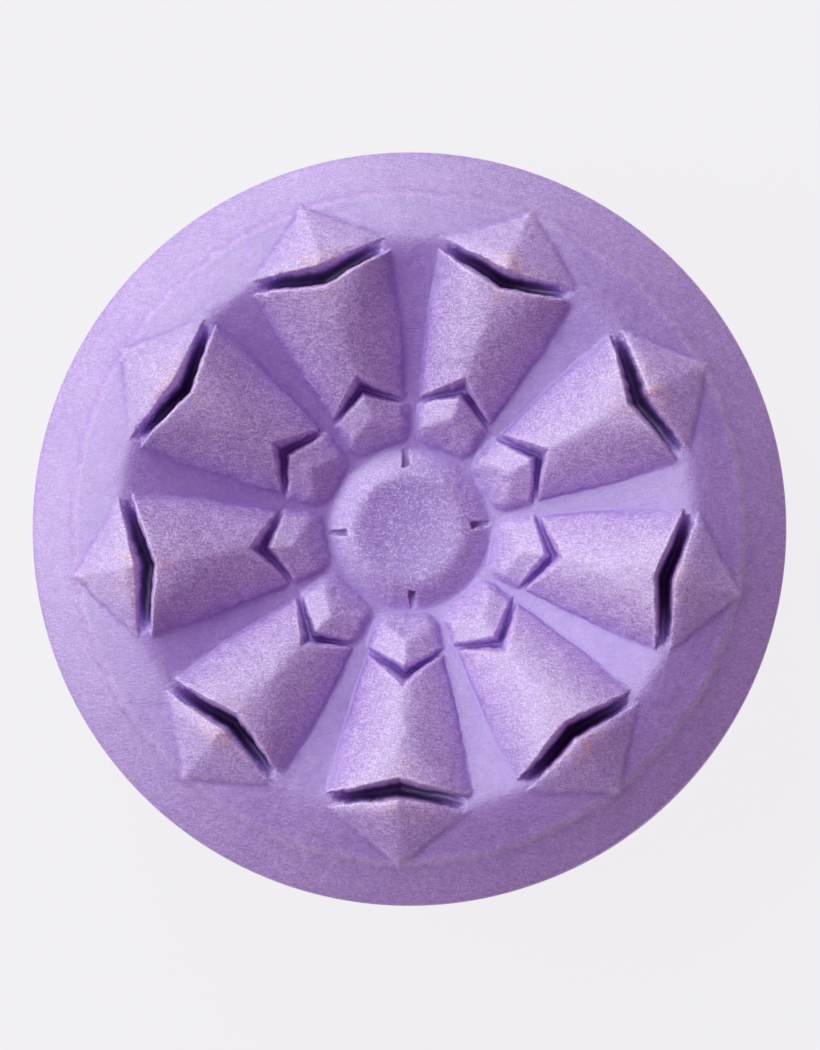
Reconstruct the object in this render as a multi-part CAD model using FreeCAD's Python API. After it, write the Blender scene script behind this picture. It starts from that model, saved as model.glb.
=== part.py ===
import FreeCAD, Part
import math
import os

# A round silicone soap mould, lying mouth down over the bar that was cast in it.
#
# mould_skin  the thin silicone shell. Its outside is a nine-petal flower in relief, and its
#             inside is the same flower, one wall thickness further in.
# soap_bar    the bar inside it, a casting of the cavity with a flat back.
#
# +Z is up, along the way that the mould peels off the bar. The origin is the centre of the
# mouth, on the surface that both pieces stand on. Lengths are in millimetres.

# ---- driving dimensions -----------------------------------------------------------------
MOUTH_R = 40.0              # outside radius at the mouth, the largest of the object
SIDE_DRAFT = 1.0            # degrees that the side wall leans in towards the top
SHOULDER_Z = 20.0           # height of the side wall
SIDE_WALL = 2.5             # silicone thickness of the side wall
RELIEF_WALL = 1.5           # silicone thickness over the relief
CLEARANCE = 0.3             # gap between the cavity and the bar
RIM_CHAMFER = 0.4           # broken outer edge of the mouth
BACK_CHAMFER = 0.8          # broken edge of the bar's flat back

# The ground that the petals stand on, from the shoulder in to the centre: each ring's
# radius, and the slope of the cone that leads in to it (positive rises towards the centre).
GROUND_RINGS = [
    (35.5, 0.53),           # sloping band
    (34.6, 0.62),           # fine step
    (32.3, 0.44),
    (30.0, 0.38),           # crest
    (22.0, -0.41),          # bowl
    (18.0, -0.36),
    (14.0, -0.33),
    (8.35, -0.275),         # valley round the hub
    (5.9, 0.54),            # edge of the hub
    (4.7, -0.06),
    (2.6, -0.26),           # dished middle of the hub, flat inside this ring
]

PETALS = 9
PETAL_PHASE = 28.4          # degrees from +X to the first petal's middle line

# Plan outlines of one petal's three blocks, as (along the radius, across it).
BODY_OUTLINE = [(26.3, 0), (28.3, 8.1), (13.25, 3.85), (16.6, 0), (13.25, -3.85), (28.3, -8.1)]
TIP_OUTLINE = [(28.45, 0), (29.4, 6.9), (35.0, 0), (29.4, -6.9)]
BEAD_OUTLINE = [(14.65, 0), (12.8, 3.4), (9.3, 2.2), (9.3, -2.2), (12.8, -3.4)]

# Each block's roofs: the height of the ridge at one radius, the rise of the ridge per
# millimetre outwards, and the fall of the two facets per millimetre sideways. A block ends
# at the lowest of its roofs.
BODY_ROOFS = [
    {"at": 27.0, "height": 27.8, "rise": 0.466, "fall": 0.45},      # beside the ridge
    {"at": 27.0, "height": 28.6, "rise": 0.495, "fall": 0.65},      # steeper foot of the flank
    {"at": 27.0, "height": 26.9, "rise": 0.12, "fall": 0.0},       # blunt outer end of the ridge
]
TIP_ROOFS = [{"at": 28.5, "height": 27.0, "rise": -0.6, "fall": 0.24}]
BEAD_ROOFS = [
    {"at": 14.65, "height": 20.8, "rise": 0.38, "fall": 0.40},
    {"at": 11.0, "height": 19.1, "rise": 0.9, "fall": 0.0},         # nose towards the hub
]

# Slits sunk into the ground between the blocks, as outlines with the height of their floor.
# An outline reaches a little way under the blocks on both sides, which then fill that part.
SLITS = [
    ([(25.9, 0), (27.6, 7.05), (29.7, 5.6), (28.95, 0), (29.7, -5.6), (27.6, -7.05)], 20.8),
    ([(14.2, 0), (12.3, 3.1), (14.0, 3.8), (17.05, 0), (14.0, -3.8), (12.3, -3.1)], 18.5),
]

NOTCHES = 4                 # short vent notches across the hub's edge
NOTCH_PHASE = 3.0           # degrees
NOTCH_FROM, NOTCH_TO = 6.3, 8.3
NOTCH_WIDTH = 0.6
NOTCH_FLOOR = 17.1

BLOCK_FOOT = 12.0           # how far down a block is carried, well inside the ground
OUTER_LIMIT = 45.0          # reaches past every outline


def vertical(thickness, slope):
    """Vertical drop of a surface of this slope when it moves in by this thickness."""
    return thickness * math.sqrt(1.0 + slope * slope)


def side_radius(z, inset):
    """Radius of the side wall at height z."""
    return MOUTH_R - inset - z * math.tan(math.radians(SIDE_DRAFT))


def ground_points(inset, side_inset):
    """Profile of the ground from the shoulder to the axis, as (radius, height)."""
    shoulder_r = side_radius(SHOULDER_Z, 0.0)
    inner_shoulder = shoulder_r - side_inset
    radius, height = shoulder_r, SHOULDER_Z
    points = []
    for ring_r, slope in GROUND_RINGS:
        if not points:
            shoulder_z = height + slope * (radius - inner_shoulder)
            points.append((inner_shoulder, shoulder_z - vertical(inset, slope)))
        height += slope * (radius - ring_r)
        radius = ring_r
        points.append((radius, height - vertical(inset, slope)))
    points.append((0.0, points[-1][1]))
    return points


def ground(inset, side_inset, foot, chamfer):
    """Solid of revolution under the petals, with the side wall and a chamfered foot."""
    wall_foot = side_radius(foot, side_inset)
    profile = [(0.0, foot), (wall_foot - chamfer, foot), (wall_foot, foot + chamfer)]
    profile += ground_points(inset, side_inset)
    corners = [FreeCAD.Vector(r, 0, z) for r, z in profile]
    wire = Part.makePolygon(corners + corners[:1])
    return Part.Face(wire).revolve(FreeCAD.Vector(), FreeCAD.Vector(0, 0, 1), 360)


def roof_height(roof, along, across):
    """Height of a roof's facet at one point of the plan."""
    return roof["height"] + roof["rise"] * (along - roof["at"]) - roof["fall"] * abs(across)


def roof_half(roof, side, inset):
    """Everything under one facet of a roof, on one side of its ridge."""
    slope = math.hypot(roof["rise"], roof["fall"])
    reach = side * OUTER_LIMIT / 2
    plan = [(0, 0), (OUTER_LIMIT, 0), (OUTER_LIMIT, reach), (0, reach)]
    low = [FreeCAD.Vector(u, v, -OUTER_LIMIT) for u, v in plan]
    high = [FreeCAD.Vector(u, v, roof_height(roof, u, v) - vertical(inset, slope)) for u, v in plan]
    faces = [Part.Face(Part.makePolygon(low + low[:1])), Part.Face(Part.makePolygon(high + high[:1]))]
    for i in range(len(plan)):
        j = (i + 1) % len(plan)
        faces.append(Part.Face(Part.makePolygon([low[i], low[j], high[j], high[i], low[i]])))
    solid = Part.makeSolid(Part.makeShell(faces))
    if solid.Volume < 0:
        solid.reverse()
    return solid


def under_roof(roof, inset):
    """Everything under a two-facet roof."""
    return roof_half(roof, 1, inset).fuse(roof_half(roof, -1, inset)).removeSplitter()


def block(outline, roofs, inset):
    """One faceted block of a petal: its outline carried up to the lowest of its roofs."""
    corners = [FreeCAD.Vector(u, v, BLOCK_FOOT) for u, v in outline]
    wire = Part.makePolygon(corners + corners[:1])
    if inset:
        wire = wire.makeOffset2D(-inset, 2)
    solid = Part.Face(wire).extrude(FreeCAD.Vector(0, 0, OUTER_LIMIT))
    for roof in roofs:
        solid = solid.common(under_roof(roof, inset))
    return solid


def slit(outline, floor, inset):
    """Space of one slit, grown sideways and down by the inset."""
    corners = [FreeCAD.Vector(u, v, floor - inset) for u, v in outline]
    wire = Part.makePolygon(corners + corners[:1])
    if inset:
        wire = wire.makeOffset2D(inset, 2)
    return Part.Face(wire).extrude(FreeCAD.Vector(0, 0, OUTER_LIMIT))


def round_the_hub(shapes, count, phase):
    """Copies of some shapes, turned about +Z."""
    turned = []
    for k in range(count):
        for shape in shapes:
            copy = shape.copy()
            copy.rotate(FreeCAD.Vector(), FreeCAD.Vector(0, 0, 1), phase + k * 360 / count)
            turned.append(copy)
    return turned


def relief(inset, side_inset, foot, chamfer):
    """The whole flower as a solid, moved in from the outside surface by the insets."""
    slits = [slit(outline, floor, inset) for outline, floor in SLITS]
    blocks = [
        block(BODY_OUTLINE, BODY_ROOFS, inset),
        block(TIP_OUTLINE, TIP_ROOFS, inset),
        block(BEAD_OUTLINE, BEAD_ROOFS, inset),
    ]
    bare = ground(inset, side_inset, foot, chamfer).cut(round_the_hub(slits, PETALS, PETAL_PHASE))
    return bare.fuse(round_the_hub(blocks, PETALS, PETAL_PHASE)).removeSplitter()


def notches():
    """The short vent notches across the hub's edge."""
    corner = FreeCAD.Vector(NOTCH_FROM, -NOTCH_WIDTH / 2, NOTCH_FLOOR)
    cutter = Part.makeBox(NOTCH_TO - NOTCH_FROM, NOTCH_WIDTH, SHOULDER_Z, corner)
    return round_the_hub([cutter], NOTCHES, NOTCH_PHASE)


def mould_skin():
    """Thin silicone shell, open at the mouth."""
    outside = relief(0.0, 0.0, 0.0, RIM_CHAMFER).cut(notches())
    cavity = relief(RELIEF_WALL, SIDE_WALL, -1.0, 0.0)
    return outside.cut(cavity).Solids[0]


def soap_bar():
    """The bar, a casting of the cavity with clearance all round."""
    return relief(RELIEF_WALL + CLEARANCE, SIDE_WALL + CLEARANCE, 0.0, BACK_CHAMFER).Solids[0]


def main():
    os.makedirs("parts", exist_ok=True)
    for name, make in {"mould_skin": mould_skin, "soap_bar": soap_bar}.items():
        solid = make()
        box = solid.BoundBox
        print(name, solid.ShapeType, len(solid.Solids), "valid", solid.isValid(),
              "volume_cm3", round(solid.Volume / 1000, 2),
              "z", round(box.ZMin, 3), round(box.ZMax, 3), "x", round(box.XLength, 3))
        solid.exportStep("parts/" + name + ".step")


main()
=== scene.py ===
# %% [markdown]
# # A petal soap mould, lying mouth down over its bar
#
# The object is a thin silicone mould for one round bar of soap. It lies on its open mouth, so
# the closed end is on top, and the flower that the soap will carry stands out of that end in
# nine raised petals. Under the silicone lies the bar that was cast in it. The CAD model holds
# both pieces as plain facets with the right sizes. This script gives them the soft moulded
# edges, the slits and the pearly purple finish of the real thing, and moves nothing.

# %% Load the frame
import bpy
import math
import numpy as np
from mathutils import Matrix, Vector


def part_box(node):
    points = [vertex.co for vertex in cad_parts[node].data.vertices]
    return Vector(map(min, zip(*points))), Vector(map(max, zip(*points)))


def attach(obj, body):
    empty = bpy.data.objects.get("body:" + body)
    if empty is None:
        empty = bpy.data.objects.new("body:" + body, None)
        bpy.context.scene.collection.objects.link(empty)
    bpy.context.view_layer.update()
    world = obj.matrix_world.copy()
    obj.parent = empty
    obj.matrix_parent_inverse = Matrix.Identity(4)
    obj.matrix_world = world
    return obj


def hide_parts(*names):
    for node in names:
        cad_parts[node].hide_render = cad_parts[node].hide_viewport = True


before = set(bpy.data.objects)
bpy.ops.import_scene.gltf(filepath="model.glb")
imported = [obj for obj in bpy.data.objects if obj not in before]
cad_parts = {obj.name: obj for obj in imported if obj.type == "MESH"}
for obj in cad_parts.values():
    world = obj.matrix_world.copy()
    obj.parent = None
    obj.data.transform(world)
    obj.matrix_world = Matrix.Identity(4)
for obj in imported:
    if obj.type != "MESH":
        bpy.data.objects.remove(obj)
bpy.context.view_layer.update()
skin_low, skin_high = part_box("mould_skin")
bar_low, bar_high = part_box("soap_bar")
MM = 0.001
mouth_r = (skin_high[0] - skin_low[0]) / 2 / MM
top_z = skin_high[2] / MM
print("mouth radius", round(mouth_r, 2), "mm, top", round(top_z, 2), "mm")
print("bar", round((bar_high[0] - bar_low[0]) / MM, 2), "mm across,", round(bar_high[2] / MM, 2), "mm high")

# %% [markdown]
# ## Camera
#
# The mould is seen from almost straight above, through a long lens, a few degrees off the
# vertical towards the lower right. From there the high petals shift a little towards the
# upper left against the low hub, and the side wall stays hidden under the shoulder. The
# camera comes first, so that every test render shows what matters.

# %% Camera over the mould
SHOULDER_Z = 20.0
DRAFT = math.tan(math.radians(1.0))     # how far the side wall leans in for each millimetre up
SHOULDER_R = mouth_r - SHOULDER_Z * DRAFT
FRAME_LONG_SIDE = 110.2     # what the long side of the frame covers at the shoulder
CAMERA_DISTANCE = 545.0
CAMERA_TILT = math.radians(3.4)
CAMERA_SIDE = math.radians(-51.0)
AIM = (0.19, 0.26, SHOULDER_Z)
SENSOR = 36.0

tilt_out = math.sin(CAMERA_TILT) * CAMERA_DISTANCE
camera_data = bpy.data.cameras.new("camera")
camera_data.sensor_width = SENSOR
camera_data.lens = SENSOR * CAMERA_DISTANCE / FRAME_LONG_SIDE
camera_data.clip_end = 10
camera = bpy.data.objects.new("camera", camera_data)
camera.location = Vector((
    AIM[0] + tilt_out * math.cos(CAMERA_SIDE),
    AIM[1] + tilt_out * math.sin(CAMERA_SIDE),
    AIM[2] + CAMERA_DISTANCE * math.cos(CAMERA_TILT),
)) * MM
back = (camera.location - Vector(AIM) * MM).normalized()
camera_right = Vector((0, 1, 0)).cross(back).normalized()
camera_up = back.cross(camera_right)
turn = camera.rotation_euler.to_matrix()
for i in range(3):
    turn[i] = (camera_right[i], camera_up[i], back[i])
camera.rotation_euler = turn.to_euler()
bpy.context.scene.collection.objects.link(camera)
bpy.context.scene.camera = camera
print("lens", round(camera_data.lens, 1), "mm")

# %% [markdown]
# ## Floor and light
#
# Low relief only reads under light from the side. Two equal soft lamps, one at the left and one
# at the top, brighten the facets that face them and leave the others in their own shade. Two
# lamps light a wider fan of facets evenly than one does. A large weak lamp opposite and a dim
# sky keep the shade from going black. Both are tinted a strong violet, so the shade is more
# violet here than it would be in plain daylight. The floor is pale and glows on its own.

# %% Floor, lamps and sky
KEY_LIGHT = (0.93, 1.04, 0.99)
FILL_LIGHT = (1.0, 0.54, 1.0)
SKY_LIGHT = (1.0, 0.56, 1.0, 1)
SKY_STRENGTH = 0.10
LAMPS = [                   # name, azimuth and elevation in degrees, distance, size, watts, colour
    ("key_lamp", 178, 38, 1.2, 0.8, 8.6, KEY_LIGHT),
    ("second_key_lamp", 112, 38, 1.2, 0.8, 8.6, KEY_LIGHT),
    ("fill_lamp", 320, 55, 1.6, 1.6, 2.5, FILL_LIGHT),
]
FLOOR_HALF = 4.0            # metres from the middle of the floor to its edge
FLOOR_GREY = (0.04, 0.04, 0.04, 1)
FLOOR_GLOW = (0.887, 0.871, 0.896, 1)
FLOOR_GLOW_STRENGTH = 0.96


def studio_lamp(name, azimuth, elevation, distance, size, power, colour):
    """Area lamp that looks at the middle of the mould."""
    data = bpy.data.lights.new(name, "AREA")
    data.shape = "DISK"
    data.size = size
    data.energy = power
    data.color = colour
    lamp = bpy.data.objects.new(name, data)
    a, e = math.radians(azimuth), math.radians(elevation)
    way = Vector((math.cos(a) * math.cos(e), math.sin(a) * math.cos(e), math.sin(e)))
    lamp.location = way * distance + Vector((0, 0, SHOULDER_Z * MM))
    lamp.rotation_euler = way.to_track_quat("Z", "Y").to_euler()
    bpy.context.scene.collection.objects.link(lamp)
    print(name, power, "W at", azimuth, "degrees round and", elevation, "up")


def plain_floor():
    """Wide pale floor that glows, as paper over a light table does."""
    half = FLOOR_HALF
    mesh = bpy.data.meshes.new("floor")
    mesh.from_pydata([(-half, -half, 0), (half, -half, 0), (half, half, 0), (-half, half, 0)],
                     [], [(0, 1, 2, 3)])
    floor = bpy.data.objects.new("floor", mesh)
    material = bpy.data.materials.new("pale_paper")
    material.use_nodes = True
    shader = material.node_tree.nodes["Principled BSDF"]
    shader.inputs["Base Color"].default_value = FLOOR_GREY
    shader.inputs["Roughness"].default_value = 0.9
    shader.inputs["Specular IOR Level"].default_value = 0.0
    shader.inputs["Emission Color"].default_value = FLOOR_GLOW
    shader.inputs["Emission Strength"].default_value = FLOOR_GLOW_STRENGTH
    mesh.materials.append(material)
    bpy.context.scene.collection.objects.link(floor)


plain_floor()
for lamp_values in LAMPS:
    studio_lamp(*lamp_values)
world = bpy.data.worlds.new("dim_sky")
bpy.context.scene.world = world
world.use_nodes = True
world.node_tree.nodes["Background"].inputs["Color"].default_value = SKY_LIGHT
world.node_tree.nodes["Background"].inputs["Strength"].default_value = SKY_STRENGTH
bpy.context.scene.view_settings.view_transform = "Standard"
print("sky strength", SKY_STRENGTH)

# %% [markdown]
# ## Soft corners
#
# Silicone copies its master exactly, but no edge comes out knife sharp. Bevels on boolean cuts
# would be one way to soften them. Here the whole relief is one height formula instead, and a
# soft minimum or maximum joins its planes, so that each edge gets its own small radius.

# %% Soft minimum, maximum and bend
def soft_min(a, b, round_off):
    """Lower of two heights, with the corner between them rounded."""
    mix = np.clip(0.5 + 0.5 * (b - a) / round_off, 0, 1)
    return b * (1 - mix) + a * mix - round_off * mix * (1 - mix)


def soft_max(a, b, round_off):
    """Higher of two heights, with the corner between them rounded."""
    return -soft_min(-a, -b, round_off)


def bend(distance, width):
    """Zero before the bend, the distance after it, with a rounded knee of this width."""
    return (distance + np.sqrt(distance ** 2 + width ** 2)) / 2


def ramp(value, low, high):
    """Smooth step from 0 to 1."""
    t = np.clip((value - low) / (high - low), 0, 1)
    return t * t * (3 - 2 * t)


print("a 4 and a 4 meet at", soft_min(4.0, 4.0, 1.0))

# %% [markdown]
# ## The ground under the petals
#
# Turned on its own, the ground would be a shallow bowl with a raised ring round it: a small
# dished hub, a valley, a cone that climbs to the crest, and a sloping shoulder with one fine
# step. A spun profile could make it. The formula adds up the slope changes instead, because
# the petals have to stand on the same numbers.

# %% Ground profile
HUB_MIDDLE_Z = 17.80
GROUND_BENDS = [            # radius, change of slope there, width of the rounded knee
    (1.0, 0.05, 0.8), (2.6, 0.08, 0.8), (4.6, 0.10, 0.3), (5.05, -0.21, 0.3), (5.9, -0.56, 0.4),
    (8.35, 0.80, 0.35), (11.0, 0.03, 1.0), (14.0, 0.04, 1.5), (18.0, 0.03, 1.5),
    (22.0, 0.05, 1.5), (30.0, -0.79, 0.9), (32.3, -0.04, 0.8), (34.2, 0.16, 0.2),
    (34.8, -1.0, 0.18), (35.5, 0.68, 0.18),
]


def ground(r):
    """Height of the ground at a radius."""
    z = np.full_like(r, HUB_MIDDLE_Z)
    for at, change, width in GROUND_BENDS:
        z = z + change * (bend(r - at, width) - bend(np.full_like(r, -at), width))
    return z


for r in (0.0, 6.0, 8.4, 30.0, 34.4, 39.6):
    print("ground at", r, "is", round(float(ground(np.array([r]))[0]), 2))

# %% [markdown]
# ## One petal
#
# Each petal is three faceted blocks in line: a long body whose ridge climbs outwards, a low
# tip beyond it, and a small five-sided bead next to the hub. Every block is a two-sided roof
# that is cut off by steep walls, and where two blocks face each other the walls leave a
# narrow dark slit. Modelling one and copying it nine times would also work. As a formula in
# the petal's own directions, along and across, it is nine petals at once.

# %% Blocks of a petal
PETALS = 9
PETAL_PHASE = math.radians(28.4)
SECTOR = 2 * math.pi / PETALS
FLANK = math.radians(16.1)  # half of a body's opening angle, seen from the hub
RIDGE_WIDTH = 0.22
RIDGE_TOP = 27.0            # where the slanted ridge of a body would end, without the slit
ROOF_SHIFT = 1.18           # how far a roof drops for each millimetre that it moves in

BODY_END, BODY_END_LEAN = 26.3, 0.24
BODY_NOTCH, BODY_NOTCH_LEAN = 16.6, -0.85
TIP_END, TIP_END_LEAN = 28.45, 0.12
TIP_APEX, TIP_SIDE_LEAN = 35.0, -0.758
BEAD_END, BEAD_END_LEAN = 14.65, -0.54
BEAD_FOOT = 9.0
BEAD_SIDE, BEAD_SIDE_LEAN = 2.4, 0.333

# Heights of the ridges, and how far they rise for each millimetre outwards.
BODY_RIDGE, BODY_RISE, BODY_SAG = 28.0, 0.466, 0.003
BODY_BLUNT, BODY_BLUNT_RISE = 26.9, 0.12
TIP_RIDGE, TIP_RISE = 27.0, -0.6
TIP_BEVEL, TIP_BEVEL_RISE, TIP_BEVEL_FALL = 26.5, 0.25, 0.32
BEAD_RIDGE, BEAD_RISE = 20.8, 0.31
NOSE_R, NOSE_HEIGHT, NOSE_RISE = 11.0, 19.1, 0.9

# How far the facets fall sideways: straight at first, and then more steeply.
BODY_FALL, BODY_FALL_MORE = 0.22, 0.44      # over a flank, as shares of its width
TIP_FALL, TIP_FALL_MORE = 0.24, 0.006       # for each millimetre, and for each one squared
BEAD_FALL = 0.40

# Slope of each wall and the rounding of the edge above it.
FLANK_WALL, BODY_END_WALL, BODY_NOTCH_WALL = (1.9, 0.4), (8.0, 1.5), (6.0, 1.2)
TIP_SIDE_WALL, TIP_END_WALL = (1.8, 0.5), (8.0, 1.2)
BEAD_SIDE_WALL, BEAD_FOOT_WALL, BEAD_END_WALL = (1.3, 0.7), (1.5, 0.6), (4.0, 0.9)
BLUNT_ROUND, BEVEL_ROUND, NOSE_ROUND = 1.4, 0.8, 0.25

LONG_SLIT_DEPTH, LONG_SLIT_HALF, LONG_SLIT_EDGE, LONG_SLIT_TAPER = 3.6, 7.0, (0.0, 0.7), 1.2
SHORT_SLIT_DEPTH, SHORT_SLIT_HALF, SHORT_SLIT_EDGE = 0.25, 3.9, (0.1, 0.5)


def soft_across(across):
    """Distance from the ridge, with the ridge itself rounded."""
    return np.sqrt(across ** 2 + RIDGE_WIDTH ** 2) - RIDGE_WIDTH


def inside(along, across, end, lean):
    """Distance inwards from an end line that leans along as it goes across."""
    return (end + lean * across - along) / math.hypot(1, lean)


def walled(z, top, distance, wall):
    """Height z, cut off by a wall that falls away from the top outside this distance."""
    slope, rounding = wall
    return soft_min(z, top + slope * distance, rounding)


def body(r, along, across, inset):
    """The long block between two slits, with flanks that steepen towards their feet."""
    reach = np.maximum(along, 1.0) * math.tan(FLANK)
    share = soft_across(across) / reach
    top = BODY_RIDGE + BODY_RISE * (along - RIDGE_TOP) - BODY_SAG * (along - RIDGE_TOP) ** 2
    top = top - reach * (BODY_FALL * share + BODY_FALL_MORE * share ** 2)
    blunt_end = BODY_BLUNT + BODY_BLUNT_RISE * (along - RIDGE_TOP)
    top = soft_min(top, blunt_end, BLUNT_ROUND) - ROOF_SHIFT * inset
    flank = r * np.sin(FLANK - np.arctan2(across, along)) - inset
    end = inside(along, across, BODY_END, BODY_END_LEAN) - inset
    notch = -inside(along, across, BODY_NOTCH, BODY_NOTCH_LEAN) - inset
    z = walled(top, top, flank, FLANK_WALL)
    z = walled(z, top, end, BODY_END_WALL)
    return walled(z, top, notch, BODY_NOTCH_WALL)


def tip(along, across, inset):
    """The low pointed block outside the body, with a bevel towards the slit."""
    end = -inside(along, across, TIP_END, TIP_END_LEAN)
    top = TIP_RIDGE + TIP_RISE * (along - TIP_END)
    top = top - TIP_FALL * soft_across(across) - TIP_FALL_MORE * across ** 2
    bevel = TIP_BEVEL + TIP_BEVEL_RISE * end - TIP_BEVEL_FALL * soft_across(across)
    top = soft_min(top, bevel, BEVEL_ROUND) - ROOF_SHIFT * inset
    side = inside(along, across, TIP_APEX, TIP_SIDE_LEAN) - inset
    z = walled(top, top, side, TIP_SIDE_WALL)
    return walled(z, top, end - inset, TIP_END_WALL)


def bead(along, across, inset):
    """The small five-sided block next to the hub."""
    top = BEAD_RIDGE + BEAD_RISE * (along - BEAD_END) - BEAD_FALL * soft_across(across)
    nose = NOSE_HEIGHT + NOSE_RISE * (along - NOSE_R)
    top = soft_min(top, nose, NOSE_ROUND) - ROOF_SHIFT * inset
    end = inside(along, across, BEAD_END, BEAD_END_LEAN) - inset
    side = (BEAD_SIDE + BEAD_SIDE_LEAN * (along - BEAD_FOOT) - across) - inset
    foot = along - BEAD_FOOT - inset
    z = walled(top, top, side, BEAD_SIDE_WALL)
    z = walled(z, top, foot, BEAD_FOOT_WALL)
    return walled(z, top, end, BEAD_END_WALL)


def slits(along, across, inset):
    """Depth of the grooves sunk below the ground between the blocks."""
    long_slit = np.minimum(-inside(along, across, BODY_END, BODY_END_LEAN),
                           inside(along, across, TIP_END, TIP_END_LEAN)) + inset
    short_slit = np.minimum(inside(along, across, BODY_NOTCH, BODY_NOTCH_LEAN),
                            -inside(along, across, BEAD_END, BEAD_END_LEAN)) + inset
    long_taper = 1 - np.clip(across / LONG_SLIT_HALF, 0, 1) ** LONG_SLIT_TAPER
    short_taper = 1 - np.clip(across / SHORT_SLIT_HALF, 0, 1)
    long_depth = LONG_SLIT_DEPTH * ramp(long_slit, *LONG_SLIT_EDGE) * long_taper
    short_depth = SHORT_SLIT_DEPTH * ramp(short_slit, *SHORT_SLIT_EDGE) * short_taper
    return long_depth + short_depth


middle = np.zeros(1)
for name, shape, at in (("bead", bead, 12.0), ("tip", tip, 30.0)):
    print(name, "ridge", round(float(shape(middle + at, middle, 0.0)[0]), 2), "mm high")

# %% [markdown]
# ## Vent notches and the whole flower
#
# Four short notches cross the edge of the hub, where air leaves when the mould is poured.
# They are cut last. The flower function then gives the height of the relief anywhere, and
# with an inset it gives the same relief further in: first the ceiling of the cavity, one
# wall thickness down, and then the top of the bar, one more small gap down.

# %% Notches and flower
NOTCHES = 4
NOTCH_PHASE = math.radians(3.0)
NOTCH_FROM, NOTCH_TO, NOTCH_HALF_WIDTH, NOTCH_FLOOR = 6.6, 8.4, 0.28, 17.0
NOTCH_SLOPE, NOTCH_JOIN = 7.0, 0.15
GROUND_SHIFT = 1.07         # how far the ground drops for each millimetre that it moves in
BODY_JOIN, TIP_JOIN, BEAD_JOIN = 0.42, 0.48, 0.60       # rounding where a block meets the ground
UNEVENNESS = 0.020


def notch_cut(r, angle):
    """Height that the notches leave."""
    cut = np.full_like(r, 99.0)
    for k in range(NOTCHES):
        away = angle - NOTCH_PHASE - k * 2 * math.pi / NOTCHES
        out, side = r * np.cos(away), np.abs(r * np.sin(away))
        over = np.maximum(side - NOTCH_HALF_WIDTH, 0)
        over = over + np.maximum(NOTCH_FROM - out, 0) + np.maximum(out - NOTCH_TO, 0)
        cut = np.minimum(cut, NOTCH_FLOOR + NOTCH_SLOPE * over)
    return cut


def lumps(x, y, size, seed):
    """Smooth unevenness between -1 and 1, in lumps of about this size, the same every time."""
    count = 64
    lattice = np.random.default_rng(seed).uniform(-1, 1, (count, count))
    across, up = x / size, y / size
    i, j = np.floor(across).astype(int), np.floor(up).astype(int)
    u, v = ramp(across - i, 0, 1), ramp(up - j, 0, 1)
    low = lattice[i % count, j % count] * (1 - u) + lattice[(i + 1) % count, j % count] * u
    high = lattice[i % count, (j + 1) % count] * (1 - u) + lattice[(i + 1) % count, (j + 1) % count] * u
    return low * (1 - v) + high * v


def wander(r, angle):
    """Moves each place a little sideways, so that edges run as if cut and sanded by hand."""
    x, y = r * np.cos(angle), r * np.sin(angle)
    calm = ramp(-r, -38.0, -35.5)
    dx = 0.10 * lumps(x, y, 3.1, 11) + 0.08 * lumps(x, y, 0.7, 12)
    dy = 0.10 * lumps(x, y, 2.7, 13) + 0.08 * lumps(x, y, 0.6, 14)
    x, y = x + calm * dx, y + calm * dy
    return np.hypot(x, y), np.arctan2(y, x)


def flower(r, angle, inset=0.0):
    """Height of the relief, in millimetres, moved in by inset."""
    uneven = UNEVENNESS * lumps(r * np.cos(angle), r * np.sin(angle), 1.6, 21)
    r, angle = wander(r, angle)
    turned = (angle - PETAL_PHASE + SECTOR / 2) % SECTOR - SECTOR / 2
    along, across = r * np.cos(turned), np.abs(r * np.sin(turned))
    z = ground(r) - GROUND_SHIFT * inset - slits(along, across, inset)
    z = soft_max(z, body(r, along, across, inset), BODY_JOIN)
    z = soft_max(z, tip(along, across, inset), TIP_JOIN)
    z = soft_max(z, bead(along, across, inset), BEAD_JOIN)
    if inset == 0:
        z = soft_min(z, notch_cut(r, angle), NOTCH_JOIN)
    return z + uneven


ridge_end = flower(np.array([25.0]), np.array([PETAL_PHASE]))[0]
print("ridge of a petal at its outer end:", round(float(ridge_end), 2))

# %% [markdown]
# ## A net of rings that follows the petals
#
# A plain round net would cut across the slits and leave saw teeth on them. This net bends:
# its rings run straight across each petal, parallel to the slit that they pass, and they
# lie close together only there. Its spokes crowd at the ridges and at the petals' flanks.
# That gives clean edges from a modest number of faces.

# %% Spokes and rings
SPOKES_PER_PETAL = 32
RING_STEPS = [              # from this distance, along a ridge, rings are this far apart
    (0.45, 0.55), (5.2, 0.35), (9.0, 0.45), (14.2, 0.28), (17.1, 0.70), (25.6, 0.30),
    (29.0, 0.42), (36.0, 0.60), (39.0, 0.0),
]
RING_LEAN = [               # distance, how far the ring follows the straight line, its lean
    (8.4, 0.0, -0.54), (14.65, 1.0, -0.54), (16.6, 1.0, -0.85), (26.3, 1.0, 0.24),
    (28.45, 1.0, 0.12), (36.0, 0.0, 0.12),
]


def spoke_angles():
    """All spokes, crowded where a petal has its edges."""
    half = np.linspace(0, SECTOR / 2, 2001)
    degrees = np.degrees(half)
    crowd = 1 + 1.5 * np.exp(-(degrees / 0.9) ** 2) + 2.0 * np.exp(-((degrees - 16.1) / 1.1) ** 2)
    share = np.concatenate([[0], np.cumsum(crowd[1:])])
    steps = np.linspace(0, share[-1], SPOKES_PER_PETAL // 2 + 1)
    one_side = np.interp(steps, share, half)
    petal = np.concatenate([one_side[:-1], SECTOR - one_side[:0:-1]])
    return np.concatenate([PETAL_PHASE + k * SECTOR + petal for k in range(PETALS)])


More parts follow.
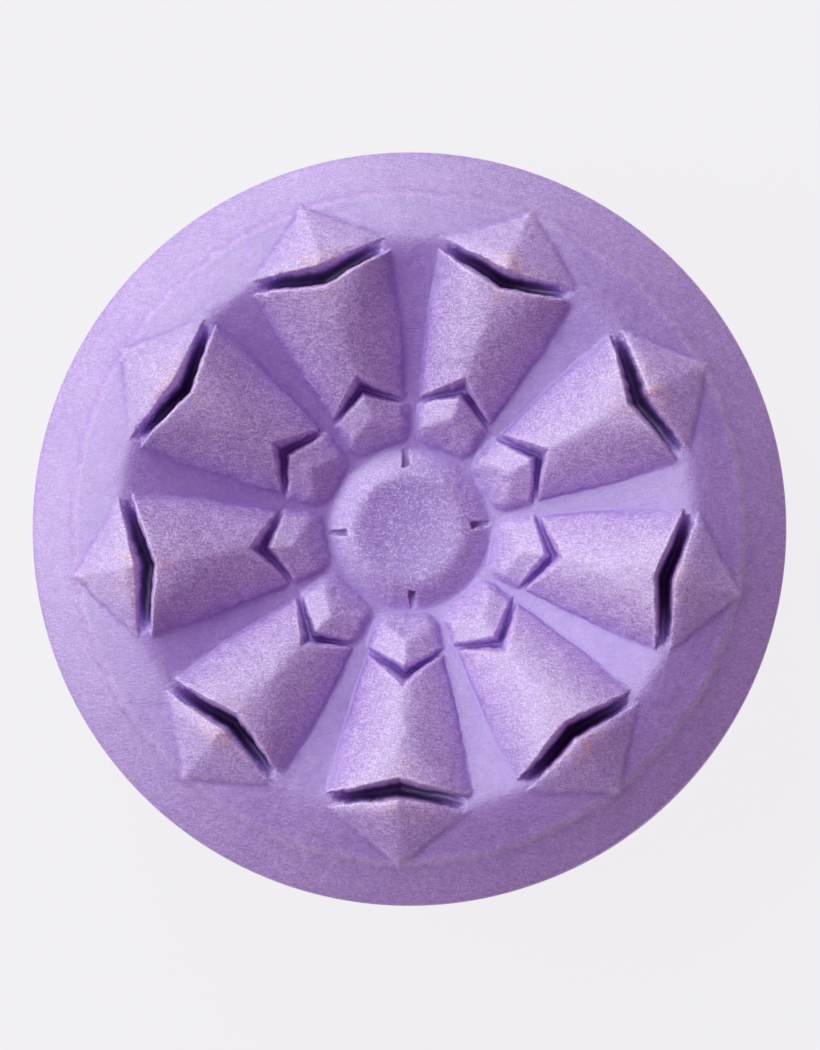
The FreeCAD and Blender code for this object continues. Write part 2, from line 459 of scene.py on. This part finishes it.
def ring_distances(coarser=1.0):
    """Distances of the rings along a petal's ridge."""
    out = []
    for (start, step), (stop, _) in zip(RING_STEPS, RING_STEPS[1:]):
        count = max(2, round((stop - start) / (step * coarser)))
        out.append(np.linspace(start, stop, count, endpoint=False))
    return np.concatenate(out + [[RING_STEPS[-1][0]]])


def ring_radius(distance, angles):
    """Radius of one ring at each spoke."""
    knots, follow, lean = zip(*RING_LEAN)
    k, w = np.interp(distance, knots, lean), np.interp(distance, knots, follow)
    turned = np.abs((angles - PETAL_PHASE + SECTOR / 2) % SECTOR - SECTOR / 2)
    turned = np.minimum(turned, FLANK)
    return distance * (1 - w + w / (np.cos(turned) - k * np.sin(turned)))


REFINE_ROUNDS = 3
SPOKES = spoke_angles()
print(len(SPOKES), "spokes,", len(ring_distances()), "rings")

# %% [markdown]
# ## From rings to a closed skin
#
# A piece is a list of rings, from the middle of its top, over the edge and round to the middle
# of its underside. Neighbouring rings are joined by four-sided faces. Where fewer spokes do,
# as near the middle or inside, a ring has half as many points, and triangles make the change.

# %% Stitch rings into a mesh
def join_rings(first, n, second, m):
    """Faces between two rings of n and m points that start at these numbers."""
    if m == n:
        j = np.arange(n)
        k = (j + 1) % n
        return np.stack([first + j, first + k, second + k, second + j], 1).tolist()
    if m > n:
        return [face[::-1] for face in join_rings(second, m, first, n)]
    if m == 1:
        return [(first + j, first + (j + 1) % n, second) for j in range(n)]
    faces = []
    for j in range(m):
        a, b, c = first + 2 * j, first + 2 * j + 1, first + (2 * j + 2) % n
        d, e = second + j, second + (j + 1) % m
        faces += [(a, b, d), (b, e, d), (b, c, e)]
    return faces


def triangles(points, faces):
    """Splits each four-sided face along its shorter diagonal."""
    out = []
    for face in faces:
        if len(face) == 3:
            out.append(face)
            continue
        a, b, c, d = face
        if np.sum((points[a] - points[c]) ** 2) < np.sum((points[b] - points[d]) ** 2):
            out += [(a, b, c), (a, c, d)]
        else:
            out += [(a, b, d), (b, c, d)]
    return np.array(out)


def cut_triangles(faces, cut, middle):
    """Triangles after some of their sides got a new point in the middle."""
    order = np.where(cut.sum(1) == 2, (np.argmin(cut, 1) + 1) % 3, np.argmax(cut, 1))
    turn = (order[:, None] + np.arange(3)) % 3
    faces, middle = np.take_along_axis(faces, turn, 1), np.take_along_axis(middle, turn, 1)
    count = cut.sum(1)
    a, b, c, m, n, o = (*faces.T, *middle.T)
    patterns = {
        0: [(a, b, c)],
        1: [(a, m, c), (m, b, c)],
        2: [(a, m, n), (m, b, n), (a, n, c)],
        3: [(a, m, o), (m, b, n), (o, n, c), (m, n, o)],
    }
    return np.concatenate([np.stack(t, 1)[count == k] for k, ts in patterns.items() for t in ts])


def refine(points, faces, relief, inset, error, finest):
    """Halves the sides that miss the relief's true height, again and again."""
    for _ in range(REFINE_ROUNDS):
        sides = np.sort(np.stack([faces, np.roll(faces, -1, 1)], 2).reshape(-1, 2), 1)
        keys, side_of = np.unique(sides[:, 0] * len(points) + sides[:, 1], return_inverse=True)
        ends = np.stack([keys // len(points), keys % len(points)], 1)
        middle = points[ends].mean(1)
        r, angle = np.hypot(middle[:, 0], middle[:, 1]), np.arctan2(middle[:, 1], middle[:, 0])
        height = flower(r, angle, inset)
        length = np.linalg.norm(points[ends[:, 0], :2] - points[ends[:, 1], :2], axis=1)
        cut = relief[ends].all(1) & (np.abs(height - middle[:, 2]) > error) & (length > finest)
        middle[:, 2] = height
        number = len(points) + np.cumsum(cut) - 1
        side_of = side_of.reshape(-1, 3)
        faces = cut_triangles(faces, cut[side_of], number[side_of])
        points = np.concatenate([points, middle[cut]])
        relief = np.concatenate([relief, np.ones(int(cut.sum()), bool)])
    return points, faces, relief


def make_piece(name, rings, relief_rings, inset, error, finest):
    """Closed smooth mesh from rings of points in millimetres, refined where the relief is sharp."""
    points, faces, starts = np.concatenate(rings), [], np.cumsum([0] + [len(r) for r in rings])
    for i in range(len(rings) - 1):
        faces += join_rings(int(starts[i]), len(rings[i]), int(starts[i + 1]), len(rings[i + 1]))
    relief = np.arange(len(points)) < starts[relief_rings]
    points, faces, relief = refine(points, triangles(points, faces), relief, inset, error, finest)
    mesh = bpy.data.meshes.new(name)
    mesh.from_pydata((points * MM).tolist(), [], faces[:, ::-1].tolist())
    mesh.shade_smooth()
    mesh.update()
    piece = bpy.data.objects.new(name, mesh)
    bpy.context.scene.collection.objects.link(piece)
    print(name, len(mesh.vertices), "points", len(mesh.polygons), "triangles")
    return piece, points, relief


def ring(radius, height, thin=1):
    """One ring, keeping each spoke whose number divides by thin."""
    angles = SPOKES[::thin]
    radius = np.broadcast_to(radius, angles.shape)
    height = np.broadcast_to(height, angles.shape)
    return np.stack([radius * np.cos(angles), radius * np.sin(angles), height], 1)


def spoke_step(distance, thin):
    """Every how many spokes a ring keeps one: fewer near the middle, where they crowd."""
    if distance < 1.2:
        return max(thin, 8)
    if distance < 2.6:
        return max(thin, 4)
    if distance < 5.2:
        return max(thin, 2)
    return thin


def flower_rings(inset, limit, thin, coarser):
    """Rings of the relief from the middle out to a limit, with fewer spokes near the middle."""
    rings = [np.array([[0, 0, float(flower(np.zeros(1), np.zeros(1), inset)[0])]])]
    for distance in ring_distances(coarser):
        if distance > limit:
            break
        keep = spoke_step(distance, thin)
        radius = ring_radius(distance, SPOKES[::keep])
        rings.append(ring(radius, flower(radius, SPOKES[::keep], inset), keep))
    return rings


# %% [markdown]
# ## The mould
#
# The skin is one closed surface: over the flower, round the soft shoulder, down the side with
# its slight draft, across the flat lip, and back up the inside to the ceiling of the cavity.
# A Solidify modifier could give the thickness, but it would fold over itself in the narrow
# slits, so the inside has its own rings from the same formula.

# %% Mould skin
SIDE_WALL, RELIEF_WALL = 2.5, 1.5
RELIEF_LIMIT = 39.05        # radius of the last ring before the shoulder
SHOULDER_ROUND, SHOULDER_SINK = 0.55, 0.33      # the corner's radius, and how far its centre sinks
LIP_ROUND = 0.4
BOX_MARGIN = 0.01           # keeps the lip just inside the CAD box
MOULD_ERROR, MOULD_FINEST = 0.014, 0.13         # height error to refine at, shortest side cut


def corner(radius, height, size, start, stop, steps, thin=1):
    """Rings round a corner of this size, about a centre, between two angles in degrees."""
    turn = np.radians(np.linspace(start, stop, steps))
    return [ring(radius + size * math.cos(t), height + size * math.sin(t), thin) for t in turn]


def wall(inset, levels, thin=1):
    """Rings of a side wall at these heights."""
    return [ring(mouth_r - inset - z * DRAFT, z, thin) for z in levels]


def mould_rings():
    """All rings of the skin, from the top of the hub to the ceiling of the cavity."""
    edge_z = float(ground(np.array([SHOULDER_R]))[0])
    outside = flower_rings(0.0, RELIEF_LIMIT, 1, 1.0)
    round_z = edge_z - SHOULDER_SINK
    rings = outside + corner(SHOULDER_R - SHOULDER_ROUND, round_z, SHOULDER_ROUND, 52, 4, 6)
    rings += wall(0.0, [edge_z - 1.5, 14.0, 9.0, 4.0, 1.2])
    rings += corner(mouth_r - BOX_MARGIN - LIP_ROUND, LIP_ROUND, LIP_ROUND, 0, -90, 5)
    rings += corner(mouth_r - SIDE_WALL + LIP_ROUND, LIP_ROUND, LIP_ROUND, -90, -180, 4, 2)
    rings += wall(SIDE_WALL, [2.0, 7.0, 12.0, 17.0], 2)
    inner_edge = SHOULDER_R - SIDE_WALL
    rings += flower_rings(RELIEF_WALL, inner_edge - 0.25, 2, 1.5)[::-1]
    return rings, len(outside)


rings, outside = mould_rings()
mould, mould_points, mould_relief = make_piece(
    "petal_mould", rings, outside, 0.0, MOULD_ERROR, MOULD_FINEST)
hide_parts("mould_skin")
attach(mould, "mould")

# %% [markdown]
# ## The bar
#
# The bar fills the cavity. It is the same flower once more, softer, because soap shrinks a
# little from the silicone. Its back was the open surface of the pour, so it is flat but for a
# faint dish, left where the soap climbed the wall.

# %% Soap bar
GAP = 0.3
BAR_INSET = RELIEF_WALL + GAP
FOOT_ROUND = 0.8
BACK_DISH = 0.25            # how far the back is sunk behind its raised edge
BAR_ERROR, BAR_FINEST = 0.03, 0.25


def bar_rings():
    """All rings of the bar, from the middle of its face to the middle of its back."""
    side = SIDE_WALL + GAP
    face = flower_rings(BAR_INSET, SHOULDER_R - side - 0.3, 2, 1.3)
    rings = list(face)
    edge_z = float(ground(np.array([SHOULDER_R - side]))[0]) - GROUND_SHIFT * BAR_INSET
    rings += wall(side, [edge_z - 0.6, 14.0, 9.0, 4.0, 1.4], 2)
    foot_r = mouth_r - side
    rings += corner(foot_r - FOOT_ROUND, FOOT_ROUND, FOOT_ROUND, -10, -90, 5, 2)
    for share in (0.955, 0.9, 0.8, 0.6, 0.4, 0.2):
        sunk = BACK_DISH * float(ramp(np.array([1 - share]), 0.0, 0.1)[0])
        rings.append(ring(foot_r * share, sunk, 2))
    rings.append(np.array([[0, 0, BACK_DISH]]))
    return rings, len(face)


rings, face = bar_rings()
bar, bar_points, bar_relief = make_piece("cast_bar", rings, face, BAR_INSET, BAR_ERROR, BAR_FINEST)
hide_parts("soap_bar")
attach(bar, "bar")

# %% [markdown]
# ## Where the pearl powder and its painted shade sit
#
# The purple is not even. Pearl powder lies as a pale, slightly pink bloom on all that stands
# proud, and it is rubbed thin in the valleys, where the deep purple shows. The same number
# also paints shade and light: it keeps the valleys darker, as the shade between the petals
# would, and lays a painted highlight along the step of the shoulder. Painting the bloom by
# hand would tie it to one set of petals. It is worked out from height instead, as one number
# at each point of the mesh, and the materials read that number.

# %% Bloom and painted shade from height
# The bloom is kept low in the valleys as painted shade. Its peak at 35.2 mm is partly powder and partly a
# painted highlight along the shoulder step.
BLOOM_BY_RADIUS = [         # radius, how much bloom lies on the ground there
    (0.0, 0.0), (2.0, 0.0), (4.4, 0.04), (5.1, 0.10), (7.2, 0.22), (8.4, 0.0), (26.0, 0.0),
    (28.5, 0.05), (30.5, 0.12), (34.5, 0.18), (35.2, 0.48), (35.9, 0.35), (40.0, 0.35),
]
BLOOM_OUTER_WALL = 0.35
BLOOM_ELSEWHERE = 0.10      # inside the cavity, and on the sides and back of the bar
WALL_BLOOM_DEPTH = 1.0      # points this close to the outer wall count as the outer wall
PROUD_BLOOM = 0.58
PROUD_HEIGHT = 0.8          # millimetres above the ground for two thirds of the full bloom
HOLLOW_START = 0.06         # millimetres below the ground before a place counts as hollow


def polar(points):
    """Radius and angle of each point, seen from above."""
    return np.hypot(points[:, 0], points[:, 1]), np.arctan2(points[:, 1], points[:, 0])


def point_value(piece, name, values):
    """Stores one number for each point of the mesh, for the materials to read."""
    attribute = piece.data.attributes.new(name, "FLOAT", "POINT")
    attribute.data.foreach_set("value", values.astype(np.float32))
    print(piece.name, name, "from", round(float(values.min()), 2), "to", round(float(values.max()), 2))


def bloom_and_shade_of(points, relief, inset):
    """From 0, deep purple with painted valley shade, to 1, full pearl bloom."""
    r, _ = polar(points)
    lying = np.interp(r, *zip(*BLOOM_BY_RADIUS))
    proud = np.maximum(points[:, 2] - ground(r) + GROUND_SHIFT * inset, 0)
    standing = 1 - np.exp(-proud / PROUD_HEIGHT)
    outer_wall = r > mouth_r - WALL_BLOOM_DEPTH - points[:, 2] * DRAFT
    elsewhere = np.where(outer_wall, BLOOM_OUTER_WALL, BLOOM_ELSEWHERE)
    return np.where(relief, lying + (PROUD_BLOOM - lying) * standing, elsewhere)


def hollow_of(points, relief, inset):
    """Depth in millimetres below the ground, as in the slits and the notches. The silicone finish
    darkens by it, as painted shade.
    """
    r, _ = polar(points)
    return np.where(relief, np.maximum(ground(r) - GROUND_SHIFT * inset - points[:, 2]
                                - HOLLOW_START, 0), 0)


def bend_of(points, relief, inset):
    """How sharply the surface bends: above 0 on edges that stand out, below 0 in creases."""
    x, y, step = points[:, 0], points[:, 1], 0.4
    around = -4 * flower(*polar(points), inset)
    for dx, dy in ((step, 0), (-step, 0), (0, step), (0, -step)):
        around = around + flower(np.hypot(x + dx, y + dy), np.arctan2(y + dy, x + dx), inset)
    return np.where(relief, np.clip(-around / step ** 2 / 4, -1, 1), 0)


GRIT_BY_RADIUS = [(0, 1.0), (6.6, 1.0), (8.4, 0.30), (26, 0.20), (30, 0.30), (40, 0.50)]


def grit_of(points, relief, inset):
    """How strong the sandy grain is: full on the hub and the petals, and more at slit edges."""
    r, angle = polar(points)
    turned = (angle - PETAL_PHASE + SECTOR / 2) % SECTOR - SECTOR / 2
    along, across = r * np.cos(turned), np.abs(r * np.sin(turned))
    lying = np.interp(r, *zip(*GRIT_BY_RADIUS))
    proud = np.maximum(points[:, 2] - ground(r) + GROUND_SHIFT * inset, 0)
    grit = lying + (1 - lying) * (1 - np.exp(-proud / PROUD_HEIGHT))
    from_body = np.abs(inside(along, across, BODY_END, BODY_END_LEAN))
    from_tip = np.abs(inside(along, across, TIP_END, TIP_END_LEAN))
    edge = np.exp(-(np.minimum(from_body, from_tip) / 0.4) ** 2) * ramp(-across, -8.0, -6.5)
    return np.where(relief, grit + edge, lying)


def rub_of(points, relief):
    """Places beside the slits where fingers have rubbed the powder off, warm and bare."""
    r, angle = polar(points)
    turned = (angle - PETAL_PHASE + SECTOR / 2) % SECTOR - SECTOR / 2
    along, across = r * np.cos(turned), r * np.sin(turned)
    tip_edge = 1.3 * np.exp(-((along - 29.4) / 0.9) ** 2 - (across / 2.4) ** 2)
    ridge_end = 0.6 * np.exp(-((along - 25.6) / 1.4) ** 2 - (across / 1.2) ** 2)
    return np.where(relief, tip_edge + ridge_end, 0)


for piece, points, relief, inset in ((mould, mould_points, mould_relief, 0.0),
                                     (bar, bar_points, bar_relief, BAR_INSET)):
    point_value(piece, "bloom_and_shade", bloom_and_shade_of(points, relief, inset))
    point_value(piece, "hollow", hollow_of(points, relief, inset))
    point_value(piece, "bend", bend_of(points, relief, inset))
point_value(mould, "rub", rub_of(mould_points, mould_relief))
point_value(mould, "grit", grit_of(mould_points, mould_relief, 0.0))

# %% [markdown]
# ## Small tools for the finishes
#
# Both finishes are built from nodes. One helper adds a node and fills its inputs, with a plain
# value or with the output of another node, so that a finish reads from top to bottom like a
# recipe. Coordinates are turned into millimetres first, so that a scale of 5 means five grains
# to a millimetre.

# %% Node helpers
def add(tree, kind, inputs, **fields):
    """New shader node with its fields set and its inputs filled or linked."""
    made = tree.nodes.new("ShaderNode" + kind)
    for name, value in fields.items():
        setattr(made, name, value)
    for name, value in inputs.items():
        if isinstance(value, bpy.types.NodeSocket):
            tree.links.new(value, made.inputs[name])
        else:
            made.inputs[name].default_value = value
    return made


def new_finish(name):
    """Empty finish: its node tree and its main shader."""
    material = bpy.data.materials.new(name)
    material.use_nodes = True
    return material, material.node_tree, material.node_tree.nodes["Principled BSDF"]


def millimetres(tree):
    """Object coordinates in millimetres."""
    where = add(tree, "TexCoord", {}).outputs["Object"]
    return add(tree, "VectorMath", {0: where, "Scale": 1 / MM}, operation="SCALE").outputs[0]


def attribute(tree, name):
    """Number stored in the mesh under this name."""
    return add(tree, "Attribute", {}, attribute_name=name).outputs["Fac"]


def noise(tree, where, scale, detail=2.0, rough=0.5):
    """Cloudy noise from 0 to 1, mostly near the middle."""
    made = add(tree, "TexNoise", {"Vector": where, "Scale": scale, "Detail": detail, "Roughness": rough})
    return made.outputs["Fac"]


def stretch(tree, value, low, high, to_low, to_high):
    """Carries low..high to to_low..to_high and stops at both ends."""
    made = add(tree, "MapRange", {"Value": value, "From Min": low, "From Max": high,
                                  "To Min": to_low, "To Max": to_high})
    return made.outputs["Result"]


def sums(tree, operation, a, b):
    """One arithmetic step on two values."""
    return add(tree, "Math", {0: a, 1: b}, operation=operation).outputs[0]


def blend_colour(tree, share, a, b):
    """From colour a at share 0 to colour b at share 1."""
    made = add(tree, "Mix", {"Factor": share}, data_type="RGBA")
    for name, value in (("A", a), ("B", b)):
        if isinstance(value, tuple):
            made.inputs[name].default_value = value
        else:
            tree.links.new(value, made.inputs[name])
    return made.outputs["Result"]


def specks(tree, where, scale, share, size):
    """Mask of round specks: one cell in so many holds one, up to this size of the cell."""
    cells = add(tree, "TexVoronoi", {"Vector": where, "Scale": scale})
    pick = add(tree, "SeparateColor", {"Color": cells.outputs["Color"]}).outputs["Red"]
    chosen = sums(tree, "GREATER_THAN", pick, 1 - share)
    near = stretch(tree, cells.outputs["Distance"], size * 0.5, size, 1.0, 0.0)
    return sums(tree, "MULTIPLY", chosen, near)


# %% [markdown]
# ## Pearly purple silicone
#
# The colour starts deep in the valleys, where it is partly painted shade, and pales with the
# bloom. A fine sandy grain lies over everything, partly as colour and partly as bump, as
# silicone takes it from a grainy master. Flakes of mica sit in it, their white flashes painted
# into the colour as glints, and a few dark specks break the surface. The slits are darkened
# by their depth, as painted shade.
# The gloss is wide and weak, which is what pulls the facets that face the lamp towards white.

# %% Silicone finish
DEEP_PURPLE = (0.278, 0.106, 0.565, 1)
PEARL_BLOOM = (0.600, 0.365, 0.760, 1)
# Painted shade for the depths of the slits and notches.
SLIT_PAINTED_SHADE = (0.130, 0.045, 0.320, 1)
GRAIN_SHADE = (0.150, 0.028, 0.400, 1)
GRAIN_LIGHT = (0.740, 0.560, 0.860, 1)
# Painted glint colour of the mica flakes, also used for the white crumbs at the slit edges.
GLINT_AND_CRUMB_WHITE = (0.95, 0.90, 0.98, 1)
SPECK_DARK = (0.12, 0.05, 0.18, 1)
RUB_WARM = (0.66, 0.27, 0.30, 1)


def sand_grain(tree, where):
    """Grain from 0 to 1: crystals, fine sand and a slanting hatch, in these shares."""
    crystals = add(tree, "TexVoronoi", {"Vector": where, "Scale": 6.4})
    facet = add(tree, "SeparateColor", {"Color": crystals.outputs["Color"]}).outputs["Green"]
    sand = stretch(tree, noise(tree, where, 5.2, 2.0, 0.8), 0.34, 0.66, 0.0, 1.0)
    brushed = add(tree, "Mapping", {"Vector": where, "Rotation": (0, 0, math.radians(45)),
                                    "Scale": (1.4, 6.0, 1.4)}).outputs[0]
    hatch = stretch(tree, noise(tree, brushed, 1.0, 1.0, 0.6), 0.34, 0.66, 0.0, 1.0)
    crystal_part = sums(tree, "MULTIPLY", facet, 0.40)
    sand_part = sums(tree, "MULTIPLY", sand, 0.34)
    hatch_part = sums(tree, "MULTIPLY", hatch, 0.26)
    return sums(tree, "ADD", crystal_part, sums(tree, "ADD", sand_part, hatch_part))


def bloomed_purple(tree, where, mottle):
    """Purple that pales with the bloom, pales on standing edges and darkens in creases, and turns
    warm where it is rubbed. The edges are partly powder and partly painted highlight, and the
    creases are painted shade.
    """
    cloud = noise(tree, where, 0.14, 2.0, 0.5)
    uneven = sums(tree, "ADD", stretch(tree, cloud, 0.3, 0.7, -0.08, 0.08),
                  stretch(tree, mottle, 0.3, 0.7, -0.08, 0.08))
    # Painted highlight and shade: standing edges pale, partly as powder, and creases darken.
    edge_light_and_crease_shade = stretch(tree, attribute(tree, "bend"), -0.4, 0.8, -0.06, 0.45)
    # The bloom is pearl powder where the relief stands proud, and painted shade where it is low.
    bloom_and_shade = sums(tree, "ADD", sums(tree, "ADD", attribute(tree, "bloom_and_shade"), uneven), edge_light_and_crease_shade)
    colour = blend_colour(tree, bloom_and_shade, DEEP_PURPLE, PEARL_BLOOM)
    patchy = stretch(tree, mottle, 0.42, 0.62, 0.0, 0.65)
    rub = sums(tree, "MULTIPLY", attribute(tree, "rub"), patchy)
    return blend_colour(tree, rub, colour, RUB_WARM)


def grained(tree, colour, grain, grit, dusty):
    """The colour with its dark grains saturated and its light ones dusted, as grit allows."""
    full = stretch(tree, grit, 0.2, 1.0, 0.35, 1.0)
    swing = sums(tree, "MULTIPLY", sums(tree, "SUBTRACT", grain, 0.5), full)
    colour = blend_colour(tree, stretch(tree, swing, -0.38, 0.0, 0.5, 0.0), colour, GRAIN_SHADE)
    tone = stretch(tree, swing, -0.1, 0.42, 0.92, 1.75)
    colour = add(tree, "VectorMath", {0: colour, "Scale": tone}, operation="SCALE").outputs[0]
    light = sums(tree, "MULTIPLY", stretch(tree, grain, 0.58, 0.85, 0.0, 0.65), dusty)
    return blend_colour(tree, light, colour, GRAIN_LIGHT)


def glint_and_crumb_mask(tree, where, grit, dusty):
    """Small and large flakes of mica, whose glints are painted, and the crumbs along the edges of
    the slits.
    """
    small_flakes = specks(tree, where, 4.6, 0.17, 0.38)
    large_flakes = specks(tree, where, 2.1, 0.06, 0.17)
    flakes = sums(tree, "MULTIPLY", sums(tree, "ADD", small_flakes, large_flakes), dusty)
    crumbs = sums(tree, "MULTIPLY", specks(tree, where, 2.9, 0.55, 0.34),
                  stretch(tree, grit, 1.1, 1.6, 0.0, 1.0))
    return sums(tree, "MAXIMUM", flakes, crumbs)


def silicone_finish():
    """Purple silicone with pearl bloom, sandy grain, mica with painted glints, and painted shade
    in the valleys and slits.
    """
    material, tree, shader = new_finish("pearl_silicone")
    where = millimetres(tree)
    grain = sand_grain(tree, where)
    mottle = noise(tree, where, 0.9, 3.0, 0.6)
    grit = attribute(tree, "grit")
    dusty = stretch(tree, grit, 0.3, 1.0, 0.1, 1.0)
    colour = grained(tree, bloomed_purple(tree, where, mottle), grain, grit, dusty)
    # Painted glints of mica, and white crumbs at the slit edges.
    glints_and_crumbs = sums(tree, "MULTIPLY", glint_and_crumb_mask(tree, where, grit, dusty), 0.85)
    colour = blend_colour(tree, glints_and_crumbs, colour, GLINT_AND_CRUMB_WHITE)
    dark_specks = sums(tree, "MULTIPLY", specks(tree, where, 1.9, 0.03, 0.15), 0.6)
    colour = blend_colour(tree, dark_specks, colour, SPECK_DARK)
    # Painted shade: the slits and notches darken with their depth.
    painted_slit_shade = stretch(tree, attribute(tree, "hollow"), 0.0, 1.2, 0.0, 0.92)
    colour = blend_colour(tree, painted_slit_shade, colour, SLIT_PAINTED_SHADE)
    tree.links.new(colour, shader.inputs["Base Color"])
    rough = stretch(tree, grain, 0.2, 0.8, 0.50, 0.64)
    tree.links.new(rough, shader.inputs["Roughness"])
    shader.inputs["IOR"].default_value = 2.1
    shader.inputs["Specular IOR Level"].default_value = 0.9
    relief = sums(tree, "ADD", grain, sums(tree, "MULTIPLY", mottle, 0.8))
    bump = add(tree, "Bump", {"Height": relief, "Strength": 0.8, "Distance": 0.06 * MM})
    tree.links.new(bump.outputs["Normal"], shader.inputs["Normal"])
    return material


mould.data.materials.append(silicone_finish())

# %% [markdown]
# ## Violet soap
#
# Soap is denser looking than silicone: matte, a little waxy, with light let in under the
# surface. A slow swirl of two violets is left from stirring, small air bubbles leave round
# pits, and the raised parts carry a little of the powder that the mould gave them; that powder
# is thinned in the creases and low places as painted shade. Separate bubble meshes would cost
# many faces for pits of a quarter of a millimetre, so the pits are in the finish: in the bump,
# and as a darker colour that is painted shade.

# %% Soap finish
SOAP_VIOLET = (0.360, 0.225, 0.560, 1)
SOAP_PALE = (0.540, 0.400, 0.690, 1)
SOAP_DUST = (0.680, 0.530, 0.780, 1)
# Painted shade inside the bubble pits.
SOAP_PIT_SHADE = (0.230, 0.130, 0.400, 1)


def soap_finish():
    """Matte violet soap with a slow swirl, bubble pits with painted shade, and a dusting of pearl
    on the edges that is thinned in creases as painted shade.
    """
    material, tree, shader = new_finish("violet_soap")
    where = millimetres(tree)
    swirl = add(tree, "TexNoise", {"Vector": where, "Scale": 0.075, "Detail": 4.0,
                                   "Roughness": 0.6, "Distortion": 1.8}).outputs["Fac"]
    colour = blend_colour(tree, stretch(tree, swirl, 0.36, 0.64, 0.0, 1.0), SOAP_VIOLET, SOAP_PALE)
    # Pearl dust on what stands proud and on edges, kept thin in low places and creases as painted shade.
    dust_and_crease_shade = sums(tree, "MULTIPLY", attribute(tree, "bloom_and_shade"), 0.9)
    dust_and_crease_shade = sums(tree, "ADD", dust_and_crease_shade, stretch(tree, attribute(tree, "bend"), -0.5, 0.8, -0.2, 0.45))
    colour = blend_colour(tree, dust_and_crease_shade, colour, SOAP_DUST)
    grain = noise(tree, where, 3.4, 3.0, 0.7)
    tone = stretch(tree, grain, 0.3, 0.7, 0.84, 1.16)
    colour = add(tree, "VectorMath", {0: colour, "Scale": tone}, operation="SCALE").outputs[0]
    small_pits = specks(tree, where, 1.0, 0.16, 0.20)
    large_pits = specks(tree, where, 0.42, 0.10, 0.13)
    pits = sums(tree, "MAXIMUM", small_pits, large_pits)
    # Painted shade: the pits are darkened in colour as well as sunk by the bump.
    colour = blend_colour(tree, sums(tree, "MULTIPLY", pits, 0.6), colour, SOAP_PIT_SHADE)
    tree.links.new(colour, shader.inputs["Base Color"])
    rough = stretch(tree, swirl, 0.3, 0.7, 0.44, 0.58)
    tree.links.new(rough, shader.inputs["Roughness"])
    shader.inputs["Subsurface Weight"].default_value = 0.15
    shader.inputs["Subsurface Radius"].default_value = (1.0, 0.7, 1.2)
    shader.inputs["Subsurface Scale"].default_value = 1.2 * MM
    height = sums(tree, "SUBTRACT", sums(tree, "MULTIPLY", grain, 0.5), pits)
    bump = add(tree, "Bump", {"Height": height, "Strength": 0.7, "Distance": 0.12 * MM})
    tree.links.new(bump.outputs["Normal"], shader.inputs["Normal"])
    return material


bar.data.materials.append(soap_finish())
